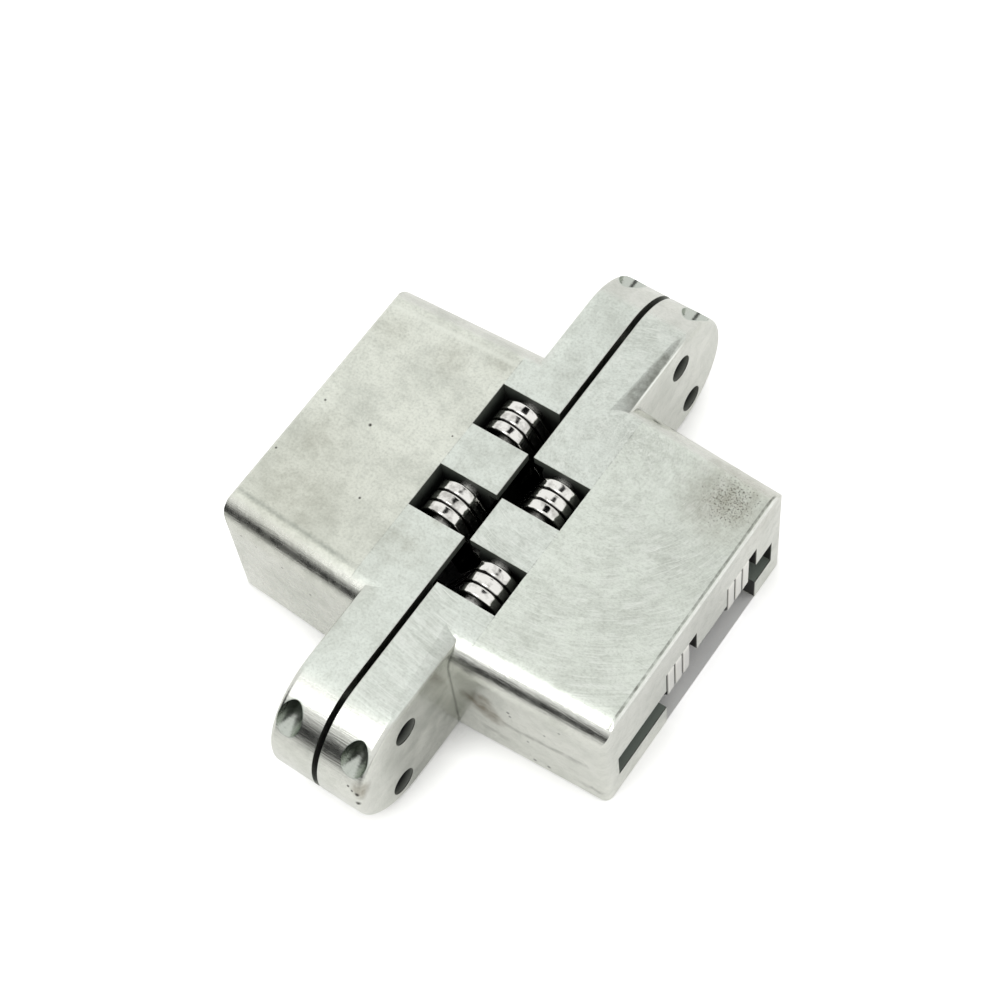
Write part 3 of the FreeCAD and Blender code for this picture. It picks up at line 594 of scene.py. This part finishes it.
def right_marks(tree, place, layers, cloud, mottle):
    """Append disc strokes, the corroded corner, edge lines with painted highlights, a painted dark reflection
    on the far flange's slope, flange smears and side stains; no more of it is rubbed dull.
    """
    x, y, z = add_node(tree, "SeparateXYZ", {0: place}).node.outputs
    upper = add_node(tree, "MapRange", {0: z, 1: STROKES_FROM, 2: STROKES_TO})
    patches = add_node(tree, "MapRange", {0: cloud, 1: 0.36, 2: 0.60, 3: 0.25, 4: 1.0})
    for size, low, high, strength in ((WAVE, 0.48, 0.72, 0.36), (STROKE, 0.54, 0.76, 0.6)):
        noise = disc_noise(tree, place, *size)
        bright = add_node(tree, "MapRange", {0: noise, 1: low, 2: high, 3: 0.0, 4: strength})
        dim = add_node(tree, "MapRange", {0: noise, 1: 1.0 - low, 2: 1.0 - high, 3: 0.0, 4: 0.3 * strength})
        layers += [(all_of(tree, bright, patches, upper), SCRATCH), (all_of(tree, dim, upper), ZINC_GRAIN)]

    damp = near_spot(tree, place, on_top(*RUST_PLACE), RUST_REACH)
    layers.append((all_of(tree, damp, mottle), RUST_HAZE))
    specks = add_node(tree, "TexNoise", {"Vector": place, "Scale": 1 / SPECK_SIZE, "Detail": 3.0,
                                         "Roughness": 0.7})
    least = add_node(tree, "MapRange", {0: damp, 1: 0.0, 2: 0.8, 3: 0.78, 4: 0.54})
    proud = add_node(tree, "Math", {0: specks, 1: least}, operation="SUBTRACT")
    layers.append((add_node(tree, "MapRange", {0: proud, 1: 0.0, 2: 0.04, 3: 0.0, 4: 0.85}), RUST_SPECK))

    worn = add_node(tree, "MapRange", {0: mottle, 1: 0.35, 2: 0.65, 3: 0.25, 4: 0.9})
    # Along the back top edge a darker line lies just inside, and a painted highlight sits on the edge itself.
    for across, hex_code in BACK_EDGE:
        edge = in_box(tree, (x, z), (across, HIGH))
        layers.append((all_of(tree, edge, worn), hex_code))
    # Painted dark reflection on the far flange's sloping facet, and a painted highlight along its crest.
    slope = in_box(tree, (x, y, z), SLOPE_BOX)
    layers += [(all_of(tree, slope, worn), SMEARS_AND_DARK_REFLECTION), (in_box(tree, (x, y, z), CREST_BOX), EDGE_HIGHLIGHT)]
    smears = add_node(tree, "MapRange", {0: cloud, 1: 0.3, 2: 0.65, 3: 0.25, 4: 0.8})
    layers.append((all_of(tree, in_box(tree, (x, y), FLANGE_BACK_BOX), smears), SMEARS_AND_DARK_REFLECTION))
    near_side = in_box(tree, (y,), NEAR_SIDE)
    broken = add_node(tree, "MapRange", {0: mottle, 1: 0.35, 2: 0.65, 3: 0.3, 4: 0.9})
    drift = add_node(tree, "MapRange", {0: cloud, 1: 0.3, 2: 0.7, 3: -TIDE_DRIFT, 4: TIDE_DRIFT})
    for tide_ends in TIDES:
        start_x, end_x, start_z, end_z = (MM * v for v in tide_ends)
        line = add_node(tree, "MapRange", {0: x, 1: start_x, 2: end_x, 3: start_z, 4: end_z})
        above = add_node(tree, "Math", {0: z, 1: line}, operation="SUBTRACT")
        above = add_node(tree, "Math", {0: above, 1: drift}, operation="ADD")
        tide = within(tree, above, -TIDE_WIDTH / 2, TIDE_WIDTH / 2, 2 * TIDE_WIDTH)
        along = within(tree, x, start_x, end_x, TIDE_END)
        layers.append((all_of(tree, near_side, tide, along, broken), TIDE))
    blotted = add_node(tree, "MapRange", {0: mottle, 1: 0.3, 2: 0.6, 3: 0.35, 4: 1.0})
    for centre, reach in RIGHT_STAINS:
        spot = near_spot(tree, place, Vector(centre) * MM, reach * MM)
        layers.append((all_of(tree, spot, blotted), BROWN))
    add_pits(tree, place, layers, [(Vector(pit[:3]) * MM, pit[3]) for pit in RIGHT_PITS])
    return 0.0


left_zinc = zinc_casting("zinc_as_die_cast", ZINC_LEFT, left_marks)
right_zinc = zinc_casting("zinc_die_cast_and_rubbed", ZINC_RIGHT, right_marks)
for node, material in (("left_leaf", left_zinc), ("right_leaf", right_zinc)):
    for slot in nodes[node].material_slots:
        slot.material = material
print("leaves:", left_zinc.name, right_zinc.name)

# %% [markdown]
# The links were stamped from steel strip and tumbled bright, so their crowns mirror the room in broken
# patches. Only the crowns and the tails keep the bright steel: between them, down inside the hinge, the
# links are darkened as painted shade. The pins are ground rod.

# %% Steel links and pins
LINK_STEEL = "#EDECE7"
# Painted shade for the links down inside the hinge.
LINK_SHADE = "#45463F"
LINK_DIRT = "#2A2A27"
LINK_SMUDGE = "#8B8983"
SMUDGE_SIZE = 1.7 * MM
FIRST_SEAM = 1.3 * MM
SEAM_FADE = (0.34 * MM, 0.10 * MM)
PACK_PITCH = 10.1 * MM
LINK_THICKNESS = 2.5 * MM
PIN_STEEL = "#BDBCB8"
LINK_GLOSS = (0.07, 0.15)
PIN_GLOSS = (0.22, 0.38)
TUMBLE_SIZE = 2.4 * MM
TUMBLE_DEPTH = 0.22 * MM
GRIND_SIZE = 0.25 * MM
GRIND_DEPTH = 0.004 * MM
UNSHADED_ABOVE = (18.5 * MM, 22.5 * MM)
UNSHADED_BEYOND = (38.0 * MM, 40.5 * MM)


def steel(name, hex_code, gloss_range, wave_size, wave_depth):
    """Steel whose shine wavers: noise of one size sets the roughness and gently bends the surface."""
    material, tree, shader = new_material(name)
    place = add_node(tree, "TexCoord", give="Object")
    waves = add_node(tree, "TexNoise", {"Vector": place, "Scale": 1 / wave_size, "Detail": 1.0})
    gloss = add_node(tree, "MapRange", {0: waves, 1: 0.3, 2: 0.7, 3: gloss_range[0], 4: gloss_range[1]})
    bump = add_node(tree, "Bump", {"Height": waves, "Strength": 1.0, "Distance": wave_depth})
    shader.inputs["Base Color"].default_value = to_linear(hex_code)
    shader.inputs["Metallic"].default_value = 1.0
    tree.links.new(gloss, shader.inputs["Roughness"])
    tree.links.new(bump, shader.inputs["Normal"])
    return material, tree, shader, place, bump.node


link_steel, tree, shader, place, bump = steel(
    "steel_stamped_and_tumbled", LINK_STEEL, LINK_GLOSS, TUMBLE_SIZE, TUMBLE_DEPTH)
x, y, z = add_node(tree, "SeparateXYZ", {0: place}).node.outputs
side = add_node(tree, "Math", {0: x}, operation="ABSOLUTE")
# Painted shade: the links are darkened below the crowns and short of the tails.
crown = add_node(tree, "MapRange", {0: z, 1: UNSHADED_ABOVE[0], 2: UNSHADED_ABOVE[1]})
tail = add_node(tree, "MapRange", {0: side, 1: UNSHADED_BEYOND[0], 2: UNSHADED_BEYOND[1]})
unshaded = add_node(tree, "Math", {0: crown, 1: tail}, operation="MAXIMUM")
end = add_node(tree, "Math", {0: y}, operation="ABSOLUTE")
step = add_node(tree, "Math", {0: end, 1: FIRST_SEAM}, operation="SUBTRACT")
step = add_node(tree, "Math", {0: step, 1: PACK_PITCH}, operation="MODULO")
seam = add_node(tree, "Math", {0: step, 1: LINK_THICKNESS / 2}, operation="PINGPONG")
seam = add_node(tree, "MapRange", {0: seam, 1: SEAM_FADE[0], 2: SEAM_FADE[1], 3: 0.0, 4: 0.95})
smudge = add_node(tree, "TexNoise", {"Vector": place, "Scale": 1 / SMUDGE_SIZE, "Detail": 3.0})
smudge = add_node(tree, "MapRange", {0: smudge, 1: 0.48, 2: 0.68, 3: 0.0, 4: 0.55})
smudge = add_node(tree, "Math", {0: smudge, 1: crown}, operation="MULTIPLY")
colour = add_node(tree, "Mix", {0: smudge, 6: to_linear(LINK_STEEL), 7: to_linear(LINK_SMUDGE)}, 2,
                  data_type="RGBA")
colour = add_node(tree, "Mix", {0: unshaded, 6: to_linear(LINK_SHADE), 7: colour}, 2, data_type="RGBA")
colour = add_node(tree, "Mix", {0: seam, 6: colour, 7: to_linear(LINK_DIRT)}, 2, data_type="RGBA")
tree.links.new(colour, shader.inputs["Base Color"])
tree.links.new(crown, bump.inputs["Strength"])
pin_steel = steel("steel_ground_rod", PIN_STEEL, PIN_GLOSS, GRIND_SIZE, GRIND_DEPTH)[0]
for node, piece in nodes.items():
    finish = link_steel if "_link_" in node else pin_steel if node.endswith("_pin") else None
    if finish:
        for slot in piece.material_slots:
            slot.material = finish
print("steel nodes:", sum("_link_" in n or n.endswith("_pin") for n in nodes))
